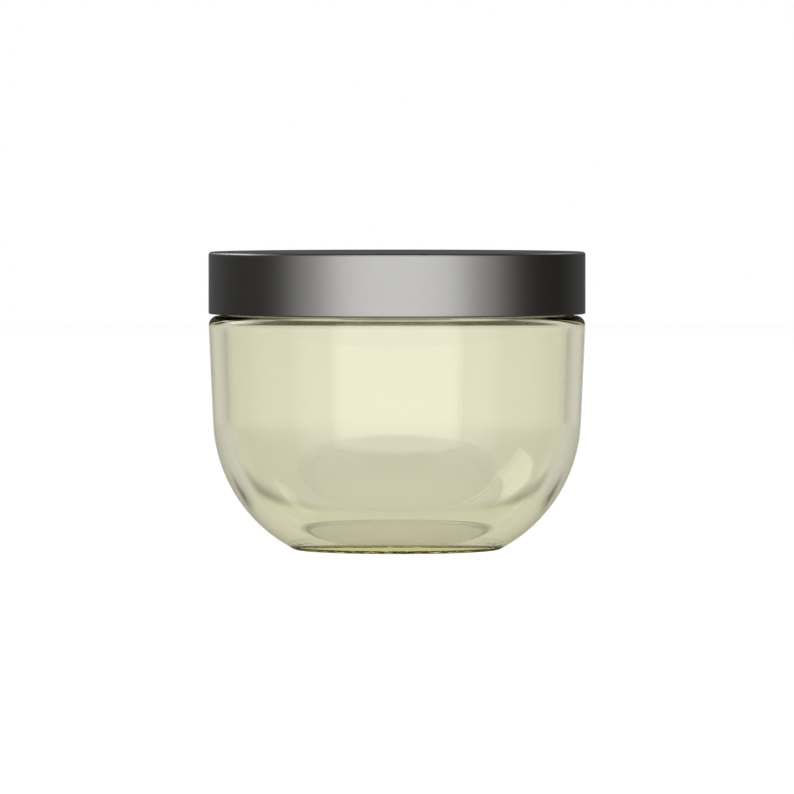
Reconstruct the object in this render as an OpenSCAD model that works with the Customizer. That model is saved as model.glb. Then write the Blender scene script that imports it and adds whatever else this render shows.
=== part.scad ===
// Wide-mouth glass cream jar with a screw lid. Millimetres, Z up.
// The origin is the middle of the resting ring, on the surface that the jar stands on.
// The lid is modelled screwed down. It comes off along the helix of its thread.

/* [Glass body] */
// Outside diameter of the jar at its shoulder, and of the lid
outer_d = 90; // [76:0.5:112]
// Height of the shoulder above the resting ring
body_h = 55.9; // [46:0.1:70]
// Lean of the outside wall, in degrees
outer_draft = 2.5; // [0:0.1:4]
// Lean of the inside wall, in degrees
inner_draft = 1.8; // [0:0.1:3]
// Thickness of the glass wall just under the shoulder
glass_wall = 4.2; // [3.2:0.1:5.2]
// Radius of the rounded shoulder
shoulder_r = 2.4; // [1:0.1:3]
// Radius of the big round heel
heel_r = 35.6; // [32:0.1:37]
// Height at which the heel curve starts
heel_start = 30.2; // [28:0.1:31.5]
// Height of the flat floor inside, above the resting ring
floor_h = 4; // [3.2:0.1:6]
// Radius of the corner between the bowl's side and its floor
corner_r = 2.5; // [1:0.1:6]

/* [Foot] */
// Rounding between the heel and the resting ring
foot_r = 1.5; // [0.8:0.1:2.5]
// Width of the flat resting ring
ring_w = 2.6; // [1.5:0.1:5]
// Depth of the hollow under the foot
hollow_depth = 1.2; // [0.6:0.1:1.6]
// Radius of the step round that hollow
hollow_r = 0.6; // [0.3:0.1:0.6]

/* [Neck] */
// Thickness of the glass in the neck
neck_wall = 2.4; // [2:0.1:3]
// Rounding of both edges of the rim
rim_r = 0.8; // [0.4:0.1:0.9]
// Fillet between the neck and the shoulder
neck_fillet = 1.2; // [0.6:0.1:1.2]
// Rounding of the step inside, where the bowl narrows into the neck
step_r = 0.8; // [0.5:0.1:1]

/* [Thread] */
// Rise of the thread in one turn
thread_pitch = 5; // [4.4:0.1:6.5]
// Width of a thread at its root
thread_root_w = 2.2; // [1.8:0.1:2.2]
// Width of a thread at its crest
thread_crest_w = 0.9; // [0.6:0.1:1]
// Height of the glass thread's start above the shoulder
thread_start = 3.4; // [3.2:0.1:3.8]
// Glass left above the top end of the thread
thread_top_margin = 2.2; // [2:0.1:3]
// Play between the thread flanks, along the axis
thread_play = 0.25; // [0.2:0.05:0.4]
// Height of the lid's thread
lid_thread_depth = 1.25; // [1:0.05:1.4]
// Gap between the lid's thread crest and the neck
neck_clearance = 0.35; // [0.3:0.05:0.5]
// Gap between the jar's thread crest and the lid
crest_clearance = 0.4; // [0.3:0.05:0.5]

/* [Lid] */
// Height of the lid
lid_h = 14.8; // [12.2:0.1:19]
// Gap between the lid's edge and the shoulder
lid_gap = 0.4; // [0.3:0.1:1.5]
// Thickness of the drawn metal shell
shell_t = 0.6; // [0.4:0.05:0.8]
// Outside radius round the top of the shell
shell_edge_r = 0.7; // [0.7:0.1:2]
// Thickness of the adhesive between shell and inner cap
glue_t = 0.2; // [0.1:0.05:0.3]
// Outer diameter of the ring of adhesive
glue_d = 72; // [40:1:74]
// Width of the ring of adhesive
glue_w = 9; // [3:0.5:15]
// Play between the inner cap and the shell
cap_play = 0.3; // [0.2:0.05:0.4]
// Thickness of the inner cap's skirt
cap_wall = 1.1; // [0.9:0.05:1.4]
// Thickness of the inner cap's top
cap_top_t = 1.2; // [0.9:0.1:1.6]
// How far the inner cap's edge sits inside the shell's edge
cap_inset = 0.2; // [0.1:0.1:0.6]
// Number of grip ribs round the inner cap
cap_ribs = 48; // [24:4:72]
// Width of a grip rib
cap_rib_w = 0.9; // [0.6:0.1:1.4]
// Number of lugs that keep the liner in the inner cap
liner_lugs = 6; // [3:1:8]
// Length of a lug round the cap, in degrees
lug_arc = 14; // [8:1:20]
// Height of a lug
lug_h = 0.5; // [0.4:0.1:0.6]
// How far a lug reaches under the liner
lug_reach = 0.5; // [0.3:0.05:0.5]

/* [Seals] */
// Thickness of the foam liner
foam_t = 1.3; // [1:0.1:2]
// Thickness of the film that faces the foam
film_t = 0.1; // [0.05:0.05:0.2]
// Play round the liner and round the sealing disc's plug
seal_play = 0.3; // [0.3:0.05:0.4]
// Thickness of the sealing disc's rim flange
flange_t = 0.7; // [0.5:0.1:1]
// Thickness of the sealing disc's wall and floor
disc_t = 0.8; // [0.6:0.1:1]
// Depth of the recess in the sealing disc
disc_depth = 2.6; // [2.2:0.1:3]
// Outer diameter of the ring to pull the disc out by
tab_d = 20; // [14:1:30]
// Width of that ring's band
tab_band = 2.6; // [2:0.1:4]
// Thickness of the ring
tab_t = 0.8; // [0.6:0.1:1]
// Height of the ring above the recess floor
tab_lift = 0.9; // [0.6:0.1:1.2]

/* [Hidden] */
$fn = 96;
arc_steps = 8;
curve_steps = 26;
thread_steps = 72;
thread_fade = 0.07;
overlap = 0.3;
hidden_r = 0.3;

outer_r = outer_d / 2;
lid_bottom = body_h + lid_gap;
lid_top = lid_bottom + lid_h;
cap_top = lid_top - shell_t - glue_t;
liner_top = cap_top - cap_top_t;
film_bottom = liner_top - foam_t - film_t;
rim_z = film_bottom - flange_t;
neck_h = rim_z - body_h;

shell_inner_r = outer_r - shell_t;
cap_r = shell_inner_r - cap_play;
lid_thread_root_r = cap_r - cap_wall;
lid_thread_crest_r = lid_thread_root_r - lid_thread_depth;
neck_r = lid_thread_crest_r - neck_clearance;
jar_thread_crest_r = lid_thread_root_r - crest_clearance;
bore_r = neck_r - neck_wall;
liner_r = lid_thread_root_r - seal_play;
plug_r = bore_r - seal_play;

// The lid's thread runs under the jar's by the sum of their half widths where they overlap.
flank_slope = (thread_root_w - thread_crest_w) / 2 / lid_thread_depth;
overlap_depth = jar_thread_crest_r - lid_thread_crest_r;
thread_offset = thread_crest_w + flank_slope * overlap_depth + thread_play;
jar_thread_turns = (neck_h - thread_start - thread_top_margin) / thread_pitch;
lid_thread_first = (lid_gap + cap_inset + thread_root_w / 2 + 0.3 + thread_offset - thread_start)
    / thread_pitch;

// Outside of the body: shoulder arc, leaning wall, heel arc and foot arc, each tangent to the next.
shoulder_c = [outer_r - shoulder_r, body_h - shoulder_r];
wall_top = shoulder_c + shoulder_r * [cos(outer_draft), -sin(outer_draft)];
heel_top = [wall_top.x - (wall_top.y - heel_start) * tan(outer_draft), heel_start];
heel_c = heel_top - heel_r * [cos(outer_draft), -sin(outer_draft)];
foot_c = [heel_c.x + sqrt((heel_r - foot_r) ^ 2 - (heel_c.y - foot_r) ^ 2), foot_r];
foot_angle = atan2(foot_c.y - heel_c.y, foot_c.x - heel_c.x);
ring_inner_r = foot_c.x - ring_w;

// Inside of the body: leaning wall, a bowl arc level with the heel's centre, and a corner arc.
step_top = body_h + step_r / 2;
inner_wall_top = [wall_top.x - glass_wall, step_top - 2 * step_r];
bowl_r = heel_r - glass_wall;
bowl_c_z = heel_c.y;
bowl_top_z = bowl_c_z - bowl_r * sin(inner_draft);
bowl_top_r = inner_wall_top.x - (inner_wall_top.y - bowl_top_z) * tan(inner_draft);
bowl_c = [bowl_top_r - bowl_r * cos(inner_draft), bowl_c_z];
corner_z = floor_h + corner_r;
corner_c = [bowl_c.x + sqrt((bowl_r - corner_r) ^ 2 - (bowl_c_z - corner_z) ^ 2), corner_z];
corner_angle = atan2(corner_z - bowl_c_z, corner_c.x - bowl_c.x);
step_w = inner_wall_top.x - bore_r;

// Points along an arc, from one angle to the other.
function arc(c, r, from, to, steps) =
    [for (i = [0:steps]) c + r * [cos(from + (to - from) * i / steps),
                                  sin(from + (to - from) * i / steps)]];

// Ease from 0 to 1.
function ease(t) = let (u = min(1, max(0, t))) u * u * (3 - 2 * u);

// The step inside the neck, as an S from the bore down to the bowl's wall.
function step_point(t) = [bore_r + step_w * ease(t), step_top - 2 * step_r * t];

function jar_outline() = concat(
    [[0, hollow_depth], [ring_inner_r - hollow_r, hollow_depth]],
    arc([ring_inner_r - hollow_r, hollow_depth - hollow_r], hollow_r, 90, 0, arc_steps),
    [[ring_inner_r, 0]],
    arc(foot_c, foot_r, -90, foot_angle, arc_steps),
    arc(heel_c, heel_r, foot_angle, -outer_draft, curve_steps),
    arc(shoulder_c, shoulder_r, -outer_draft, 90, arc_steps),
    arc([neck_r + neck_fillet, body_h + neck_fillet], neck_fillet, 270, 180, arc_steps),
    arc([neck_r - rim_r, rim_z - rim_r], rim_r, 0, 90, arc_steps),
    arc([bore_r + rim_r, rim_z - rim_r], rim_r, 90, 180, arc_steps),
    [for (i = [0:arc_steps]) step_point(i / arc_steps)],
    arc(bowl_c, bowl_r, -inner_draft, corner_angle, curve_steps),
    arc(corner_c, corner_r, corner_angle, -90, arc_steps),
    [[0, floor_h]]);

// A helical ridge. It starts at height z when the angle is 0, and sinks into its wall at each end.
// Its flanks run on into the wall, so that they cut its surface cleanly.
module ridge(wall_r, crest_r, z, first, last)
{
    side = crest_r > wall_r ? 1 : -1;
    buried_r = wall_r - side * overlap;
    buried_w = thread_root_w + (thread_root_w - thread_crest_w) * overlap / abs(crest_r - wall_r);
    steps = ceil((last - first) * thread_steps);
    function turn(i) = first + (last - first) * i / steps;
    function rise(i) = max(0.12, ease(min(i, steps - i) / steps * (last - first) / thread_fade));
    function corner(r, dz, i) = [r * cos(360 * turn(i)), r * sin(360 * turn(i)),
                                 z + thread_pitch * turn(i) + dz];
    function section(i) = let (top_r = wall_r + (crest_r - wall_r) * rise(i))
        [corner(buried_r, -side * buried_w / 2, i),
         corner(top_r, -side * thread_crest_w / 2, i),
         corner(top_r, side * thread_crest_w / 2, i),
         corner(buried_r, side * buried_w / 2, i)];
    points = [for (i = [0:steps]) each section(i)];
    sides = [for (i = [0:steps - 1]) for (k = [0:3])
        let (a = 4 * i + k, b = 4 * i + (k + 1) % 4)
        each [[a, b, a + 4], [b, b + 4, a + 4]]];
    start_cap = [[0, 3, 2], [0, 2, 1]];
    end_cap = [for (f = start_cap) [for (k = [2, 1, 0]) f[k] + 4 * steps]];
    polyhedron(points, concat(sides, start_cap, end_cap), convexity = 8);
}

// Moulded glass: bowl, resting ring, neck and thread in one piece.
module glass_jar()
{
    color("#d6d8ae")
        union()
        {
            rotate_extrude() polygon(jar_outline());
            ridge(neck_r, jar_thread_crest_r, body_h + thread_start, 0, jar_thread_turns);
        }
}

// Drawn aluminium cup, the visible outside of the lid.
module lid_shell()
{
    outline = concat(
        [[0, lid_top]],
        arc([outer_r - shell_edge_r, lid_top - shell_edge_r], shell_edge_r, 90, 0, arc_steps),
        arc([outer_r - hidden_r, lid_bottom + hidden_r], hidden_r, 0, -90, arc_steps),
        [[shell_inner_r, lid_bottom]],
        arc([shell_inner_r - hidden_r, lid_top - shell_t - hidden_r], hidden_r, 0, 90, arc_steps),
        [[0, lid_top - shell_t]]);
    color("#5b5956") rotate_extrude() polygon(outline);
}

// Moulded cap inside the shell, with the thread, the grip ribs and the lugs under the liner.
module lid_inner_cap()
{
    bottom = lid_bottom + cap_inset;
    outline = [[0, cap_top], [cap_r - hidden_r, cap_top], [cap_r, cap_top - hidden_r],
        [cap_r, bottom], [lid_thread_root_r, bottom], [lid_thread_root_r, liner_top],
        [0, liner_top]];
    rib_bottom = bottom + 1;
    rib_top = cap_top - 1.2;
    rib_reach = cap_play - 0.05;
    lug_top = film_bottom - seal_play;
    color("#e9e8e4")
        union()
        {
            rotate_extrude() polygon(outline);
            for (i = [0:cap_ribs - 1])
                rotate(i * 360 / cap_ribs)
                    translate([cap_r - overlap, -cap_rib_w / 2, rib_bottom])
                        cube([overlap + rib_reach, cap_rib_w, rib_top - rib_bottom]);
            for (i = [0:liner_lugs - 1])
                rotate(i * 360 / liner_lugs)
                    translate([0, 0, lug_top - lug_h])
                        rotate_extrude(angle = lug_arc)
                            translate([liner_r - lug_reach, 0])
                                square([lug_reach + seal_play + overlap, lug_h]);
            ridge(lid_thread_root_r, lid_thread_crest_r, body_h + thread_start - thread_offset,
                lid_thread_first, jar_thread_turns);
        }
}

// Ring of adhesive that holds the shell on the inner cap.
module lid_adhesive_ring()
{
    color("#cfc9a8")
        translate([0, 0, cap_top])
            difference()
            {
                cylinder(h = glue_t, d = glue_d);
                translate([0, 0, -1]) cylinder(h = glue_t + 2, d = glue_d - 2 * glue_w);
            }
}

// Foam wad that is pressed on the rim when the lid is tight.
module liner_foam()
{
    color("#f4f4f1")
        translate([0, 0, film_bottom + film_t]) cylinder(h = foam_t, r = liner_r);
}

// Barrier film on the foam's lower face.
module liner_film()
{
    color("#dfe3e6")
        translate([0, 0, film_bottom]) cylinder(h = film_t, r = liner_r);
}

// Loose moulded disc that rests on the rim and plugs the mouth, with its pull ring.
module sealing_disc()
{
    flange_r = neck_r - 0.2;
    recess_r = plug_r - disc_t;
    recess_floor = film_bottom - disc_depth;
    outline = concat(
        [[0, recess_floor - disc_t]],
        arc([plug_r - disc_t, recess_floor], disc_t, -90, 0, arc_steps),
        [[plug_r, rim_z], [flange_r, rim_z], [flange_r, film_bottom], [recess_r, film_bottom],
         [recess_r, recess_floor], [0, recess_floor]]);
    tab_c = [tab_d / 4, 0, recess_floor];
    color("#f3f2ee")
        union()
        {
            rotate_extrude() polygon(outline);
            translate(tab_c + [0, 0, tab_lift])
                difference()
                {
                    cylinder(h = tab_t, d = tab_d);
                    translate([0, 0, -1]) cylinder(h = tab_t + 2, d = tab_d - 2 * tab_band);
                }
            translate([tab_c.x - tab_d / 2 - tab_band, -tab_band, recess_floor - disc_t / 2])
                cube([2 * tab_band, 2 * tab_band, disc_t / 2 + tab_lift + tab_t / 2]);
        }
}

glass_jar();
lid_shell();
lid_inner_cap();
lid_adhesive_ring();
liner_foam();
liner_film();
sealing_disc();
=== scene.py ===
"""A wide-mouth glass cream jar with a satin metal screw lid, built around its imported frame."""
import math

import bpy
import numpy as np
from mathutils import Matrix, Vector


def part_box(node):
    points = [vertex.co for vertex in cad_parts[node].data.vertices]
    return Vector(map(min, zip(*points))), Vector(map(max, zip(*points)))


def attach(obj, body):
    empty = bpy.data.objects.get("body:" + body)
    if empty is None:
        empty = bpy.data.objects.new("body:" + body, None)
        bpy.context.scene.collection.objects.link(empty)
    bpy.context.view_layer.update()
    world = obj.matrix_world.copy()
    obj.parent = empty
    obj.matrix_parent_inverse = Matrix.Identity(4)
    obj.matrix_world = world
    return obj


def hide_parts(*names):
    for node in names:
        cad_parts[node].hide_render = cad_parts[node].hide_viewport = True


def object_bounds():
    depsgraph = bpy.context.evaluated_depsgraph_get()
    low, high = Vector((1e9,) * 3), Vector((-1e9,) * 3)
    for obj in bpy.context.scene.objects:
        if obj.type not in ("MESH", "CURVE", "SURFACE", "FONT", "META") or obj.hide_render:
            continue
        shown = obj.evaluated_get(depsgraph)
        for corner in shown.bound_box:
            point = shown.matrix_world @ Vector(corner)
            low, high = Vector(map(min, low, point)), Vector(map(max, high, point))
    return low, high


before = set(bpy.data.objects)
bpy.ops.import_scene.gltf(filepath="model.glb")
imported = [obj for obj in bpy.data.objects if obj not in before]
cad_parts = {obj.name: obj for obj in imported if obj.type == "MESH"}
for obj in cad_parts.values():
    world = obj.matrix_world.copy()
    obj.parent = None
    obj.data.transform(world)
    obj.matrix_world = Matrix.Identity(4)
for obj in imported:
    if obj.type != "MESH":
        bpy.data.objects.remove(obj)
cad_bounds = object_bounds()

MM = 0.001
scene = bpy.context.scene
scene.view_settings.view_transform = "Standard"

# ---------------------------------------------------------------------------------------------
# Camera. A long lens, just above the height of the lid, looking a little down at the jar. The
# jar fills a little under half of the picture's width.
jar_width = cad_bounds[1][0] - cad_bounds[0][0]
camera_distance = 1.9
camera_height = 94.1 * MM
aim_height = 36.4 * MM
sensor_width = 36.0
share_of_width = 377.0 / 794.0

camera = bpy.data.objects.new("camera", bpy.data.cameras.new("camera"))
scene.collection.objects.link(camera)
camera.location = (0, -camera_distance, camera_height)
camera.rotation_euler = (Vector((0, 0, aim_height)) - camera.location).to_track_quat("-Z", "Y").to_euler()
camera.data.sensor_width = sensor_width
camera.data.lens = sensor_width * camera_distance * share_of_width / jar_width
camera.data.clip_start = 0.05
camera.data.clip_end = 30
scene.camera = camera

# ---------------------------------------------------------------------------------------------
# Glass jar. One piece of moulded soda glass with a weak yellow-green tint: a straight wall that
# leans in by a few degrees, a big round heel, a small foot with a resting ring, a rounded
# shoulder, and a neck with a single-start thread. Both of its skins are fire-polished.


def arc(centre, radius, start, end, steps=16):
    """Points of a circular arc: centre plus radius times (cos, sin) of evenly spaced angles."""
    angles = np.radians(np.linspace(start, end, steps + 1))
    return np.array(centre) + radius * np.column_stack([np.cos(angles), np.sin(angles)])


def outline(stretches, longest):
    """Joins stretches of points, drops repeats and splits straight runs into steps of at most longest."""
    points = np.vstack([np.atleast_2d(np.array(s, float)) for s in stretches])
    keep = np.r_[True, np.linalg.norm(np.diff(points, axis=0), axis=1) > 1e-5]
    points = points[keep]
    lengths = np.linalg.norm(np.diff(points, axis=0), axis=1)
    rows = [np.linspace(a, b, int(math.ceil(d / longest)) + 1)[:-1]
            for a, b, d in zip(points[:-1], points[1:], lengths)]
    return np.vstack(rows + [points[-1:]])


def lathe(name, profile, around, reshape=None, ring=False):
    """A closed surface of revolution, in millimetres before it is scaled to metres.

    The profile is a row of (radius, height) points carried round Z: x = r cos(a), y = r sin(a).
    It runs from axis to axis, where one point closes each pole, or round a ring back to its start.
    reshape takes the grids of radius, height and angle and returns new radii and heights.
    The profile runs so that the solid lies on its left, which makes the faces point outwards.
    """
    inner = profile if ring else profile[1:-1]
    angle = np.linspace(0, 2 * np.pi, around, endpoint=False)
    radius, turn = np.meshgrid(inner[:, 0], angle, indexing="ij")
    height = np.repeat(inner[:, 1:2], around, axis=1)
    if reshape:
        radius, height = reshape(radius, height, turn)
    grid = np.stack([radius * np.cos(turn), radius * np.sin(turn), height], axis=-1).reshape(-1, 3)
    rows = len(inner)
    i = np.arange(rows if ring else rows - 1)[:, None]
    j = np.arange(around)[None, :]
    a = i * around + j
    b = i * around + (j + 1) % around
    c = ((i + 1) % rows) * around + (j + 1) % around
    d = ((i + 1) % rows) * around + j
    quads = np.stack([a, b, c, d], axis=-1).reshape(-1, 4)
    faces = quads.tolist()
    points = grid
    if not ring:
        low, high = len(grid), len(grid) + 1
        points = np.vstack([grid, [0, 0, profile[0, 1]], [0, 0, profile[-1, 1]]])
        j = np.arange(around)
        top = (rows - 1) * around
        faces += np.column_stack([np.full(around, low), (j + 1) % around, j]).tolist()
        faces += np.column_stack([np.full(around, high), top + j, top + (j + 1) % around]).tolist()
    return mesh_piece(name, points, faces)


def mesh_piece(name, points, faces):
    """A smooth-shaded object at the origin, made from points in millimetres."""
    mesh = bpy.data.meshes.new(name)
    mesh.from_pydata((np.asarray(points) * MM).tolist(), [], faces)
    mesh.polygons.foreach_set("use_smooth", np.ones(len(mesh.polygons), bool))
    mesh.update()
    piece = bpy.data.objects.new(name, mesh)
    scene.collection.objects.link(piece)
    return piece


def ease(t):
    """A smooth step: 0 below 0, 1 above 1, and 3 t^2 - 2 t^3 between."""
    t = np.clip(t, 0, 1)
    return t * t * (3 - 2 * t)


def thread_height(height, turn, first_centre, first, last, depth):
    """How far a thread stands out of its wall.

    At each angle the thread's middle is at first_centre + pitch * turns. The section is a trapezoid
    with softened corners, and the ends run out over thread_fade turns.
    """
    total = np.zeros_like(height)
    for lap in range(int(math.floor(first)) - 1, int(math.ceil(last)) + 1):
        turns = turn / (2 * np.pi) + lap
        offset = np.abs(height - (first_centre + thread_pitch * turns))
        section = ease((thread_root_w / 2 - offset) / ((thread_root_w - thread_crest_w) / 2))
        fade = ease(np.minimum(turns - first, last - turns) / thread_fade)
        total = np.maximum(total, depth * section * fade)
    return total


jar_low, jar_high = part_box("glass_jar")
shell_low, shell_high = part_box("lid_shell")
outer_r = jar_high.x / MM
rim_z = jar_high.z / MM
lid_bottom = shell_low.z / MM
lid_top = shell_high.z / MM
shoulder_z = lid_bottom - 0.4
shoulder_r = 2.4
outer_draft = 2.5
inner_draft = 1.8
glass_wall = 4.2
heel_r = 35.6
heel_start = 30.2
foot_r = 1.5
ring_w = 2.6
hollow_depth = 1.2
hollow_r = 0.6
floor_z = 4.0
corner_r = 2.5
neck_r = 41.4
neck_wall = 2.4
neck_fillet = 1.2
rim_edge_r = 0.8
step_r = 0.8
thread_pitch = 5.0
thread_root_w = 2.2
thread_crest_w = 0.9
thread_fade = 0.07
thread_start = 3.4
jar_thread_depth = 1.2
jar_thread_turns = (rim_z - shoulder_z - thread_start - 2.2) / thread_pitch
hair = 0.02

draft_cos = math.cos(math.radians(outer_draft))
draft_sin = math.sin(math.radians(outer_draft))
shoulder_c = (outer_r - shoulder_r, shoulder_z - shoulder_r)
wall_top = (shoulder_c[0] + shoulder_r * draft_cos, shoulder_c[1] - shoulder_r * draft_sin)
heel_top_r = wall_top[0] - (wall_top[1] - heel_start) * draft_sin / draft_cos
heel_c = (heel_top_r - heel_r * draft_cos, heel_start + heel_r * draft_sin)
foot_c = (heel_c[0] + math.sqrt((heel_r - foot_r) ** 2 - (heel_c[1] - foot_r) ** 2), foot_r)
foot_angle = math.degrees(math.atan2(foot_c[1] - heel_c[1], foot_c[0] - heel_c[0]))
ring_inner_r = foot_c[0] - ring_w
bore_r = neck_r - neck_wall
step_top = shoulder_z + step_r / 2
inner_wall_top = (wall_top[0] - glass_wall, step_top - 2 * step_r)
bowl_r = heel_r - glass_wall
bowl_c_z = heel_c[1]
bowl_top_z = bowl_c_z - bowl_r * math.sin(math.radians(inner_draft))
bowl_top_r = inner_wall_top[0] - (inner_wall_top[1] - bowl_top_z) * math.tan(math.radians(inner_draft))
bowl_c = (bowl_top_r - bowl_r * math.cos(math.radians(inner_draft)), bowl_c_z)
corner_z = floor_z + corner_r
corner_c = (bowl_c[0] + math.sqrt((bowl_r - corner_r) ** 2 - (bowl_c_z - corner_z) ** 2), corner_z)
corner_angle = math.degrees(math.atan2(corner_z - bowl_c_z, corner_c[0] - bowl_c[0]))
step_t = np.linspace(0, 1, 13)
inner_step = np.column_stack([bore_r + (inner_wall_top[0] - bore_r) * ease(step_t), step_top - 2 * step_r * step_t])
neck_foot_z = shoulder_z + neck_fillet
neck_line = np.column_stack([np.full(80, neck_r), np.linspace(neck_foot_z, rim_z - rim_edge_r, 80)])

jar_profile = outline([
    (0, hollow_depth), (ring_inner_r - hollow_r, hollow_depth),
    arc((ring_inner_r - hollow_r, hollow_depth - hollow_r), hollow_r, 90, 0, 8),
    (ring_inner_r, 0),
    arc(foot_c, foot_r, -90, foot_angle, 10),
    arc(heel_c, heel_r, foot_angle, -outer_draft, 56),
    arc(shoulder_c, shoulder_r, -outer_draft, 90, 20),
    arc((neck_r + neck_fillet, neck_foot_z), neck_fillet, 270, 180, 8),
    neck_line,
    arc((neck_r - rim_edge_r, rim_z - hair - rim_edge_r), rim_edge_r, 0, 90, 8),
    arc((bore_r + rim_edge_r, rim_z - hair - rim_edge_r), rim_edge_r, 90, 180, 8),
    inner_step,
    arc(bowl_c, bowl_r, -inner_draft, corner_angle, 44),
    arc(corner_c, corner_r, corner_angle, -90, 14),
    (0, floor_z),
], longest=1.4)


def cut_jar_thread(radius, height, turn):
    """Lifts the outside of the neck into the glass thread."""
    outside = (radius > neck_r - neck_wall / 2) & (height > shoulder_z + neck_fillet - 0.01)
    rise = thread_height(height, turn, shoulder_z + thread_start, 0, jar_thread_turns, jar_thread_depth)
    return radius + np.where(outside, rise, 0), height


glass_jar = lathe("jar_glass_body", jar_profile, 240, cut_jar_thread)


class Nodes:
    """Short names for building one material's node tree."""

    def __init__(self, name):
        self.material = bpy.data.materials.new(name)
        self.material.use_nodes = True
        self.tree = self.material.node_tree
        self.shader = self.tree.nodes["Principled BSDF"]
        self.output = self.tree.nodes["Material Output"]
        self.place = self.add("ShaderNodeTexCoord").outputs["Object"]

    def add(self, kind, **values):
        node = self.tree.nodes.new(kind)
        for key, value in values.items():
            setattr(node, key, value)
        return node

    def link(self, source, target):
        self.tree.links.new(source, target)

    def noise(self, scale, detail=2.0, stretch=(1, 1, 1)):
        """A noise texture on the piece's own coordinates, in cells per metre."""
        mapping = self.add("ShaderNodeMapping")
        mapping.inputs["Scale"].default_value = stretch
        self.link(self.place, mapping.inputs["Vector"])
        texture = self.add("ShaderNodeTexNoise")
        texture.inputs["Scale"].default_value = scale
        texture.inputs["Detail"].default_value = detail
        self.link(mapping.outputs["Vector"], texture.inputs["Vector"])
        return texture.outputs["Fac"]

    def ramp(self, factor, low, high):
        """Spreads a mask evenly between two numbers."""
        spread = self.add("ShaderNodeMapRange")
        spread.inputs["To Min"].default_value = low
        spread.inputs["To Max"].default_value = high
        self.link(factor, spread.inputs["Value"])
        return spread.outputs["Result"]

    def blend(self, factor, first, second):
        """Mixes two colours by a mask."""
        mix = self.add("ShaderNodeMix", data_type="RGBA")
        mix.inputs["A"].default_value = (*first, 1)
        mix.inputs["B"].default_value = (*second, 1)
        self.link(factor, mix.inputs["Factor"])
        return mix.outputs["Result"]

    def bump(self, height, depth, strength=1.0):
        """Turns a height mask into a normal. depth is in metres."""
        node = self.add("ShaderNodeBump")
        node.inputs["Distance"].default_value = depth
        node.inputs["Strength"].default_value = strength
        self.link(height, node.inputs["Height"])
        self.link(node.outputs["Normal"], self.shader.inputs["Normal"])

    def set(self, **values):
        for key, value in values.items():
            self.shader.inputs[key.replace("_", " ")].default_value = value


glass_tint = (0.80, 0.780, 0.42)
glass_depth_density = 30.0
glass = Nodes("tinted_glass")
glass.set(Base_Color=(0.943, 0.937, 0.840, 1), Transmission_Weight=1.0, IOR=1.5, Roughness=0.0)
glass.link(glass.ramp(glass.noise(60.0), 0.0, 0.004), glass.shader.inputs["Roughness"])
foot_place = glass.add("ShaderNodeSeparateXYZ")
glass.link(glass.place, foot_place.inputs["Vector"])
foot_mask = glass.add("ShaderNodeMapRange")
for key, value in (("From Min", 0.0008), ("From Max", 0.0002), ("To Min", 0.0), ("To Max", 1.0)):
    foot_mask.inputs[key].default_value = value
glass.link(foot_place.outputs["Z"], foot_mask.inputs["Value"])
stipple = glass.add("ShaderNodeMath", operation="MULTIPLY")
glass.link(glass.noise(700.0, 1.0), stipple.inputs[0])
glass.link(foot_mask.outputs["Result"], stipple.inputs[1])
skin = glass.add("ShaderNodeMath", operation="MULTIPLY_ADD")
glass.link(glass.noise(22.0, 1.0), skin.inputs[0])
skin.inputs[1].default_value = 0.02
glass.link(stipple.outputs["Value"], skin.inputs[2])
glass.bump(skin.outputs["Value"], 0.0003, 0.6)
depth_tint = glass.add("ShaderNodeVolumeAbsorption")
depth_tint.inputs["Color"].default_value = (*glass_tint, 1)
depth_tint.inputs["Density"].default_value = glass_depth_density
glass.link(depth_tint.outputs["Volume"], glass.output.inputs["Volume"])
glass_jar.data.materials.append(glass.material)
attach(glass_jar, "jar")
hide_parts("glass_jar")

# ---------------------------------------------------------------------------------------------
# Lid shell. A cup drawn from aluminium sheet, blasted to a fine satin and anodised a dark warm
# grey. Its edge is rolled over a small radius, and its foot is trimmed flush.
shell_t = 0.6
shell_edge_r = 0.7
foot_edge_r = 0.3

shell_profile = outline([
    (0, lid_top - shell_t),
    arc((outer_r - shell_t - foot_edge_r, lid_top - shell_t - foot_edge_r), foot_edge_r, 90, 0, 8),
    (outer_r - shell_t, lid_bottom),
    arc((outer_r - foot_edge_r, lid_bottom + foot_edge_r), foot_edge_r, -90, 0, 8),
    arc((outer_r - shell_edge_r, lid_top - shell_edge_r), shell_edge_r, 0, 90, 14),
    (0, lid_top),
], longest=0.9)
lid_shell = lathe("lid_outer_shell", shell_profile, 240)

satin = Nodes("satin_anodised_metal")
satin.set(Metallic=1.0)
satin.link(satin.blend(satin.noise(900.0, 3.0), (0.510, 0.505, 0.497), (0.545, 0.540, 0.531)),
           satin.shader.inputs["Base Color"])
satin.link(satin.ramp(satin.noise(2600.0, 2.0), 0.34, 0.42), satin.shader.inputs["Roughness"])
satin.bump(satin.noise(3400.0, 2.0), 0.00001, 0.35)
lid_shell.data.materials.append(satin.material)
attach(lid_shell, "lid")
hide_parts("lid_shell")

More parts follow.
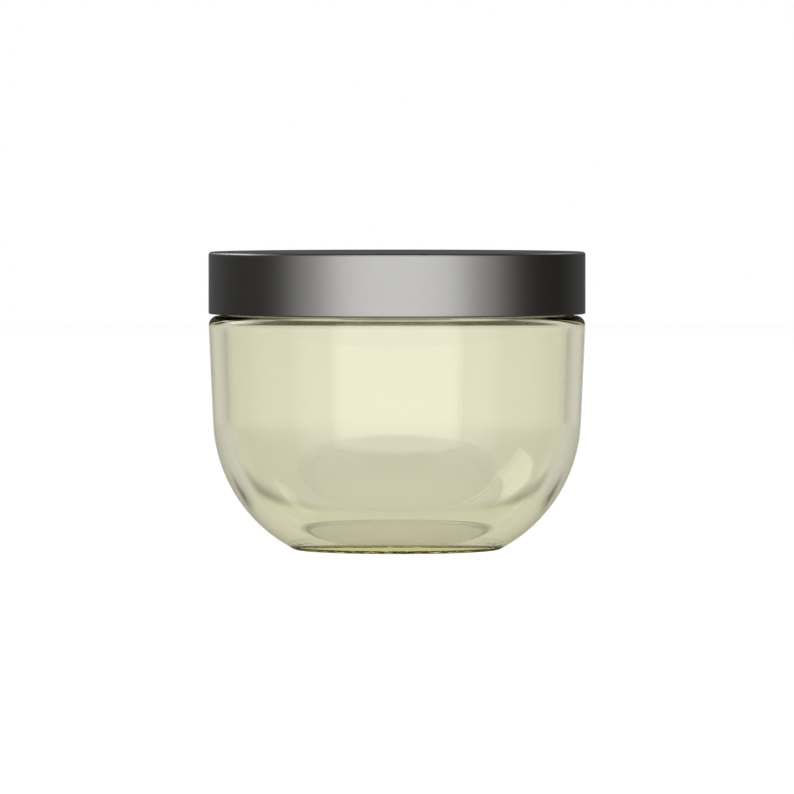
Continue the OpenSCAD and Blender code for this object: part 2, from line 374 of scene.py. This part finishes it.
# ---------------------------------------------------------------------------------------------
# Inner cap. Injection-moulded polypropylene, pressed and glued into the shell, with grip ribs
# outside, the thread inside, and lugs that keep the liner from falling out.
cap_low, cap_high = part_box("lid_inner_cap")
foam_low, foam_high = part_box("liner_foam")
film_low, film_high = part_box("liner_film")
cap_bottom = cap_low.z / MM
cap_top = cap_high.z / MM
liner_top = foam_high.z / MM
film_bottom = film_low.z / MM
cap_r = outer_r - shell_t - 0.3
cap_root_r = cap_r - 1.1
cap_thread_depth = 1.25
cap_ribs = 48
rib_reach = 0.25
rib_w = 0.9
lug_count = 6
lug_arc = 14.0
lug_h = 0.5
lug_inner_r = foam_high.x / MM - 0.5
thread_play = 0.25
crest_overlap = 0.85
thread_drop = thread_crest_w + (thread_root_w - thread_crest_w) / 2 / cap_thread_depth * crest_overlap + thread_play
cap_thread_first = (0.4 + 0.2 + thread_root_w / 2 + 0.3 + thread_drop - thread_start) / thread_pitch

cap_profile = outline([
    (0, liner_top), (cap_root_r, liner_top),
    np.column_stack([np.full(100, cap_root_r), np.linspace(liner_top, cap_bottom, 100)]),
    (cap_r, cap_bottom),
    np.column_stack([np.full(12, cap_r), np.linspace(cap_bottom + 0.3, cap_top - 0.3, 12)]),
    arc((cap_r - 0.3, cap_top - 0.3), 0.3, 0, 90, 6),
    (0, cap_top),
], longest=2.0)


def mould_cap(radius, height, turn):
    """Adds the grip ribs outside and the thread inside."""
    inside = (np.abs(radius - cap_root_r) < 0.01) & (height < liner_top - 0.01)
    thread = thread_height(height, turn, shoulder_z + thread_start - thread_drop,
                           cap_thread_first, jar_thread_turns, cap_thread_depth)
    outside = (radius > cap_r - 0.01) & (height > cap_bottom + 0.9) & (height < cap_top - 1.0)
    rib_angle = (turn * cap_ribs / (2 * np.pi) + 0.5) % 1 - 0.5
    off_rib = np.abs(rib_angle) * 2 * np.pi * cap_r / cap_ribs
    rib = rib_reach * ease((rib_w / 2 - off_rib) / 0.25 + 0.5)
    return radius - np.where(inside, thread, 0) + np.where(outside, rib, 0), height


inner_cap = lathe("lid_inner_cap_moulding", cap_profile, 384, mould_cap)


def block_ring(count, start_arc, inner_r, outer_radius, low, high, steps=8):
    """Points and faces of evenly spaced curved blocks, each a box bent round Z over start_arc degrees."""
    points, faces = [], []
    for k in range(count):
        a = np.radians(k * 360 / count + np.linspace(0, start_arc, steps + 1))
        corners = [(inner_r, low), (outer_radius, low), (outer_radius, high), (inner_r, high)]
        base = sum(len(p) for p in points)
        points += [np.column_stack([r * np.cos(a), r * np.sin(a), np.full(steps + 1, z)]) for r, z in corners]
        n = steps + 1
        for side in range(4):
            s, t = base + side * n, base + (side + 1) % 4 * n
            faces += [[s + i, t + i, t + i + 1, s + i + 1] for i in range(steps)]
        faces.append([base + 3 * n, base + 2 * n, base + n, base])
        faces.append([base + steps + q * n for q in range(4)])
    return np.vstack(points), faces


lug_top = film_bottom - 0.3
lug_points, lug_faces = block_ring(lug_count, lug_arc, lug_inner_r, cap_root_r + 0.3, lug_top - lug_h, lug_top)
lugs = mesh_piece("liner_lugs", lug_points, lug_faces)

cap_plastic = Nodes("moulded_polypropylene")
cap_plastic.set(Subsurface_Weight=0.1, Specular_IOR_Level=0.4)
cap_plastic.shader.inputs["Subsurface Radius"].default_value = (0.002, 0.0018, 0.0015)
cap_plastic.link(cap_plastic.blend(cap_plastic.noise(45.0, 4.0), (0.070, 0.040, 0.016), (0.085, 0.050, 0.020)),
                 cap_plastic.shader.inputs["Base Color"])
cap_plastic.link(cap_plastic.ramp(cap_plastic.noise(300.0, 3.0), 0.38, 0.55),
                 cap_plastic.shader.inputs["Roughness"])
cap_plastic.bump(cap_plastic.noise(1400.0, 2.0), 0.00001, 0.3)
for piece in (inner_cap, lugs):
    piece.data.materials.append(cap_plastic.material)
    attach(piece, "lid")
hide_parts("lid_inner_cap")

# ---------------------------------------------------------------------------------------------
# Adhesive. A ring of hot-melt, squeezed flat between the cap and the shell, so its two edges
# wander a little.
glue_low, glue_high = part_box("lid_adhesive_ring")
glue_r = glue_high.x / MM
glue_w = 9.0
glue_mid_r = glue_r - glue_w / 2
glue_z = (glue_low.z + glue_high.z) / 2 / MM
glue_half_t = (glue_high.z - glue_low.z) / 2 / MM
glue_profile = outline([
    arc((glue_r - glue_half_t, glue_z), glue_half_t, -90, 90, 6),
    arc((glue_r - glue_w + glue_half_t, glue_z), glue_half_t, 90, 270, 6),
], longest=1.5)


def squeeze_glue(radius, height, turn):
    """Lets the ring's width wander: the offset from its middle line is scaled by a few sines of the angle."""
    wander = 0.90 + 0.05 * np.sin(5 * turn) + 0.03 * np.sin(11 * turn + 1.0) + 0.02 * np.sin(23 * turn + 2.0)
    return glue_mid_r + (radius - glue_mid_r) * wander, height


glue = lathe("lid_adhesive_bead", glue_profile, 192, squeeze_glue, ring=True)
hot_melt = Nodes("hot_melt")
hot_melt.set(Subsurface_Weight=0.3)
hot_melt.shader.inputs["Subsurface Radius"].default_value = (0.002, 0.0015, 0.0008)
hot_melt.link(hot_melt.blend(hot_melt.noise(150.0, 3.0), (0.72, 0.66, 0.44), (0.80, 0.75, 0.56)),
              hot_melt.shader.inputs["Base Color"])
hot_melt.link(hot_melt.ramp(hot_melt.noise(500.0), 0.25, 0.45), hot_melt.shader.inputs["Roughness"])
glue.data.materials.append(hot_melt.material)
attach(glue, "lid")
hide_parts("lid_adhesive_ring")

# ---------------------------------------------------------------------------------------------
# Liner. A wad punched from white closed-cell polyethylene foam, with a barrier film laminated to
# the face that meets the rim. It is loose in the cap.
liner_r = foam_high.x / MM
foam_bottom = foam_low.z / MM
foam_profile = outline([
    (0, foam_bottom), arc((liner_r - 0.12, foam_bottom + 0.12), 0.12, -90, 0, 4),
    arc((liner_r - 0.12, liner_top - 0.12), 0.12, 0, 90, 4), (0, liner_top),
], longest=1.5)
foam = lathe("liner_foam_wad", foam_profile, 192)
foam_cells = Nodes("closed_cell_foam")
foam_cells.set(Subsurface_Weight=0.15, Specular_IOR_Level=0.2)
foam_cells.shader.inputs["Subsurface Radius"].default_value = (0.002, 0.002, 0.002)
cell = foam_cells.add("ShaderNodeTexVoronoi")
cell.inputs["Scale"].default_value = 2800.0
foam_cells.link(foam_cells.place, cell.inputs["Vector"])
foam_cells.link(foam_cells.blend(cell.outputs["Distance"], (0.93, 0.93, 0.92), (0.84, 0.84, 0.83)),
                foam_cells.shader.inputs["Base Color"])
foam_cells.link(foam_cells.ramp(cell.outputs["Distance"], 0.6, 0.85), foam_cells.shader.inputs["Roughness"])
foam_cells.bump(cell.outputs["Distance"], 0.00005, 0.5)
foam.data.materials.append(foam_cells.material)

film_profile = outline([
    (0, film_bottom), (liner_r - 0.03, film_bottom), (liner_r, film_bottom + 0.03),
    (liner_r, film_high.z / MM - 0.01), (liner_r - 0.02, film_high.z / MM), (0, film_high.z / MM),
], longest=1.5)
film = lathe("liner_barrier_film", film_profile, 192)
film_face = Nodes("barrier_film")
film_face.set(Coat_Weight=0.4, Coat_Roughness=0.12)
film_face.link(film_face.blend(film_face.noise(70.0, 3.0), (0.86, 0.88, 0.90), (0.91, 0.92, 0.93)),
               film_face.shader.inputs["Base Color"])
film_face.link(film_face.ramp(film_face.noise(220.0, 3.0), 0.2, 0.34), film_face.shader.inputs["Roughness"])
film_face.bump(film_face.noise(240.0, 3.0), 0.00003, 0.4)
film.data.materials.append(film_face.material)
for piece, node, slot in ((foam, "liner_foam", "foam"), (film, "liner_film", "film")):
    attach(piece, "liner")
    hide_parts(node)

# ---------------------------------------------------------------------------------------------
# Sealing disc. A loose shallow tray of translucent polyethylene that rests on the rim and plugs
# the mouth, with a ring to pull it out by, all in one moulding.
disc_t = 0.8
plug_r = bore_r - 0.3
flange_r = neck_r - 0.2
recess_r = plug_r - disc_t
recess_z = film_bottom - 2.6
tab_r = 10.0
tab_band = 2.6
tab_t = 0.8
tab_lift = 0.9
tab_x = tab_r / 2
soft_edge = 0.2
disc_profile = outline([
    (0, recess_z - disc_t),
    arc((plug_r - disc_t, recess_z), disc_t, -90, 0, 10),
    (plug_r, rim_z + hair), (flange_r - soft_edge, rim_z + hair),
    arc((flange_r - soft_edge, rim_z + hair + soft_edge), soft_edge, -90, 0, 5),
    arc((flange_r - soft_edge, film_bottom - hair - soft_edge), soft_edge, 0, 90, 5),
    arc((recess_r + soft_edge, film_bottom - hair - soft_edge), soft_edge, 90, 180, 5),
    arc((recess_r - 0.5, recess_z + 0.5), 0.5, 0, -90, 8),
    (0, recess_z),
], longest=1.2)
disc = lathe("sealing_disc_tray", disc_profile, 240)

tab_z = recess_z + tab_lift
tab_profile = outline([
    arc((tab_r - tab_t / 2, tab_z + tab_t / 2), tab_t / 2, -90, 90, 8),
    arc((tab_r - tab_band + tab_t / 2, tab_z + tab_t / 2), tab_t / 2, 90, 270, 8),
], longest=0.6)
tab = lathe("sealing_disc_pull_ring", tab_profile, 96, ring=True)
shift = np.empty(len(tab.data.vertices) * 3)
tab.data.vertices.foreach_get("co", shift)
shift = shift.reshape(-1, 3) + (tab_x * MM, 0, 0)
tab.data.vertices.foreach_set("co", shift.ravel())
stem_w = 2 * tab_band
stem_x = tab_x - tab_r
stem_points = np.array([[stem_x + sx, sy, sz]
                        for sz, grow in ((recess_z - disc_t / 2, 0.3), (tab_z + tab_t / 2, 0))
                        for sx, sy in ((-grow, -tab_band / 2 - grow), (tab_band + grow, -tab_band / 2 - grow),
                                       (tab_band + grow, tab_band / 2 + grow), (-grow, tab_band / 2 + grow))])
stem = mesh_piece("sealing_disc_stem", stem_points,
                  [[3, 2, 1, 0], [4, 5, 6, 7], [0, 1, 5, 4], [1, 2, 6, 5], [2, 3, 7, 6], [3, 0, 4, 7]])
round_off = stem.modifiers.new("round_off", "BEVEL")
round_off.width = 0.3 * MM
round_off.segments = 3

disc_plastic = Nodes("soft_polyethylene")
disc_plastic.set(Subsurface_Weight=0.35, Specular_IOR_Level=0.4)
disc_plastic.shader.inputs["Subsurface Radius"].default_value = (0.003, 0.003, 0.0028)
disc_plastic.link(disc_plastic.blend(disc_plastic.noise(35.0, 3.0), (0.90, 0.89, 0.86), (0.94, 0.935, 0.91)),
                  disc_plastic.shader.inputs["Base Color"])
disc_plastic.link(disc_plastic.ramp(disc_plastic.noise(260.0, 3.0), 0.3, 0.46),
                  disc_plastic.shader.inputs["Roughness"])
disc_plastic.bump(disc_plastic.noise(1100.0, 2.0), 0.00001, 0.25)
for piece in (disc, tab, stem):
    piece.data.materials.append(disc_plastic.material)
    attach(piece, "disc")
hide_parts("sealing_disc")

# ---------------------------------------------------------------------------------------------
# Studio. A plain pale floor, white beyond it, one large soft panel in front, dim fill beside it
# and two narrow rim panels behind. The room itself is dark, which gives the lid its dark flanks.
# Seen through the glass, the floor near the jar is a painted pool of light with painted shadow in its middle.


def stage_plane(name, corners):
    """A flat four-sided stage surface."""
    mesh = bpy.data.meshes.new(name)
    mesh.from_pydata(corners, [], [(0, 1, 2, 3)])
    plane = bpy.data.objects.new(name, mesh)
    scene.collection.objects.link(plane)
    return plane


floor_half = 2.5
floor_drop = -0.05 * MM
floor = stage_plane("floor", [(-floor_half, -floor_half, floor_drop), (floor_half, -floor_half, floor_drop),
                              (floor_half, floor_half, floor_drop), (-floor_half, floor_half, floor_drop)])
floor.visible_glossy = False
floor_paint = Nodes("pale_floor_painted_pool")
floor_paint.set(Roughness=0.9, Specular_IOR_Level=0.0)
floor_paint.link(floor_paint.blend(floor_paint.noise(30.0, 4.0), (0.68, 0.68, 0.68), (0.70, 0.70, 0.70)),
                 floor_paint.shader.inputs["Base Color"])
paths = floor_paint.add("ShaderNodeLightPath")
glow = floor_paint.add("ShaderNodeMath", operation="MULTIPLY")
glow.inputs[1].default_value = 0.93
floor_paint.link(paths.outputs["Is Camera Ray"], glow.inputs[0])
floor_paint.shader.inputs["Emission Color"].default_value = (1, 1, 1, 1)
floor_paint.link(glow.outputs["Value"], floor_paint.shader.inputs["Emission Strength"])
reach = floor_paint.add("ShaderNodeVectorMath", operation="LENGTH")
floor_paint.link(floor_paint.place, reach.inputs[0])
# Painted light: rays refracted through the glass see a glowing pool on the floor within about 45 mm of the axis. It
# fades out by 70 mm, where the floor turns clear and shows the room.
painted_pool_reach = floor_paint.add("ShaderNodeMapRange", interpolation_type="SMOOTHSTEP")
for key, value in (("From Min", 0.045), ("From Max", 0.070), ("To Min", 0.0), ("To Max", 1.0)):
    painted_pool_reach.inputs[key].default_value = value
floor_paint.link(reach.outputs["Value"], painted_pool_reach.inputs["Value"])
# Painted shadow: the pool is a dark olive inside about 20 to 26 mm of the axis.
painted_shadow_mask = floor_paint.add("ShaderNodeMapRange", interpolation_type="SMOOTHSTEP")
for key, value in (("From Min", 0.020), ("From Max", 0.026), ("To Min", 0.0), ("To Max", 1.0)):
    painted_shadow_mask.inputs[key].default_value = value
floor_paint.link(reach.outputs["Value"], painted_shadow_mask.inputs["Value"])
# The pool glows by itself as an emission and is not lit by any lamp.
painted_light_pool = floor_paint.add("ShaderNodeEmission")
floor_paint.link(floor_paint.blend(painted_shadow_mask.outputs["Result"], (0.36, 0.33, 0.24), (0.80, 0.79, 0.72)),
                 painted_light_pool.inputs["Color"])
open_floor = floor_paint.add("ShaderNodeBsdfTransparent")
through = floor_paint.add("ShaderNodeMixShader")
floor_paint.link(painted_pool_reach.outputs["Result"], through.inputs["Fac"])
floor_paint.link(painted_light_pool.outputs["Emission"], through.inputs[1])
floor_paint.link(open_floor.outputs["BSDF"], through.inputs[2])
whole_floor = floor_paint.add("ShaderNodeMixShader")
floor_paint.link(paths.outputs["Is Transmission Ray"], whole_floor.inputs["Fac"])
floor_paint.link(floor_paint.shader.outputs["BSDF"], whole_floor.inputs[1])
floor_paint.link(through.outputs["Shader"], whole_floor.inputs[2])
floor_paint.link(whole_floor.outputs["Shader"], floor_paint.output.inputs["Surface"])
floor.data.materials.append(floor_paint.material)

world = bpy.data.worlds.new("studio")
scene.world = world
world.use_nodes = True
sky = world.node_tree
background = sky.nodes["Background"]


def sky_node(kind, **values):
    node = sky.nodes.new(kind)
    for key, value in values.items():
        setattr(node, key, value)
    return node


def sky_spread(source, low, high, first, last):
    """A smooth mask from first to last while the source goes from low to high."""
    spread = sky_node("ShaderNodeMapRange", interpolation_type="SMOOTHSTEP")
    for key, value in (("From Min", low), ("From Max", high), ("To Min", first), ("To Max", last)):
        spread.inputs[key].default_value = value
    sky.links.new(source, spread.inputs["Value"])
    return spread.outputs["Result"]


def sky_mix(factor, first, second):
    """Mixes two colours, each a plain colour or another node's output."""
    mix = sky_node("ShaderNodeMix", data_type="RGBA")
    for socket, value in ((mix.inputs["A"], first), (mix.inputs["B"], second)):
        if isinstance(value, tuple):
            socket.default_value = (*value, 1)
        else:
            sky.links.new(value, socket)
    sky.links.new(factor, mix.inputs["Factor"])
    return mix.outputs["Result"]


direction = sky_node("ShaderNodeSeparateXYZ")
sky.links.new(sky_node("ShaderNodeTexCoord").outputs["Generated"], direction.inputs["Vector"])
kind_of_ray = sky_node("ShaderNodeLightPath")
flank = sky_spread(direction.outputs["Y"], 0.45, 0.95, 0.0, 1.0)
behind = sky_node("ShaderNodeMath", operation="MULTIPLY")
sky.links.new(sky_spread(direction.outputs["Y"], 0.955, 0.998, 0.0, 1.0), behind.inputs[0])
sky.links.new(sky_spread(direction.outputs["Z"], -0.01, 0.04, 1.0, 0.0), behind.inputs[1])
below = sky_spread(direction.outputs["Z"], -0.34, -0.14, 1.0, 0.0)
around_room = sky_mix(flank, (0.012, 0.010, 0.008), (0.10, 0.102, 0.104))
around_room = sky_mix(behind.outputs["Value"], around_room, (0.80, 0.81, 0.82))
around_room = sky_mix(below, around_room, (0.07, 0.068, 0.062))
down = sky_spread(direction.outputs["Z"], -0.24, -0.15, 1.0, 0.0)
aside = sky_spread(direction.outputs["Y"], 0.72, 0.97, 1.0, 0.0)
pale_room = sky_mix(aside, (0.90, 0.90, 0.91), (0.56, 0.55, 0.53))
low = sky_spread(direction.outputs["Z"], -0.075, -0.018, 1.0, 0.0)
pale_room = sky_mix(low, pale_room, (0.76, 0.76, 0.755))
steep = sky_spread(direction.outputs["Z"], -0.75, -0.50, 1.0, 0.0)
sideways = sky_node("ShaderNodeMath", operation="ABSOLUTE")
sky.links.new(direction.outputs["X"], sideways.inputs[0])
down_behind = sky_node("ShaderNodeMath", operation="MULTIPLY")
sky.links.new(down, down_behind.inputs[0])
sky.links.new(sky_spread(sideways.outputs["Value"], 0.28, 0.44, 1.0, 0.0), down_behind.inputs[1])
dark_below = sky_node("ShaderNodeMath", operation="MAXIMUM")
sky.links.new(down_behind.outputs["Value"], dark_below.inputs[0])
sky.links.new(steep, dark_below.inputs[1])
through_glass = sky_mix(dark_below.outputs["Value"], pale_room, (0.06, 0.036, 0.014))
reflected_or_seen = sky_mix(kind_of_ray.outputs["Is Transmission Ray"], around_room, through_glass)
sky.links.new(sky_mix(kind_of_ray.outputs["Is Camera Ray"], reflected_or_seen, (1.0, 1.0, 1.0)),
              background.inputs["Color"])


def panel(name, azimuth, elevation, distance, width, height, radiance, tint=(1, 1, 1)):
    """A rectangular lamp that faces the jar. Azimuth 0 is the camera's side, positive to the right."""
    light = bpy.data.lights.new(name, "AREA")
    light.shape = "RECTANGLE"
    light.size = width
    light.size_y = height
    light.energy = radiance * math.pi * width * height
    light.color = tint
    lamp = bpy.data.objects.new(name, light)
    a, e = math.radians(azimuth), math.radians(elevation)
    target = Vector((0, 0, 40 * MM))
    lamp.location = target + distance * Vector((math.sin(a) * math.cos(e), -math.cos(a) * math.cos(e), math.sin(e)))
    lamp.rotation_euler = (target - lamp.location).to_track_quat("-Z", "Y").to_euler()
    scene.collection.objects.link(lamp)
    return lamp


panel("front_panel", 0, 2, 2.2, 3.85, 2.35, 1.18)
panel("left_fill", -54, 2, 2.2, 1.0, 2.35, 0.38)
panel("right_fill", 54, 2, 2.2, 1.0, 2.35, 0.38)
panel("top_panel", 0, 52, 2.2, 2.6, 1.1, 1.0)
for pane, pane_azimuth in enumerate((113, 127, 141)):
    panel(f"left_window_{pane}", -pane_azimuth, 28, 2.2, 0.50, 0.75, 1.8)
for pane, pane_azimuth in enumerate((138, 150)):
    panel(f"right_window_{pane}", pane_azimuth, 33, 2.2, 0.42, 0.45, 1.3)

scene.cycles.max_bounces = 24
scene.cycles.transmission_bounces = 24
scene.cycles.glossy_bounces = 24
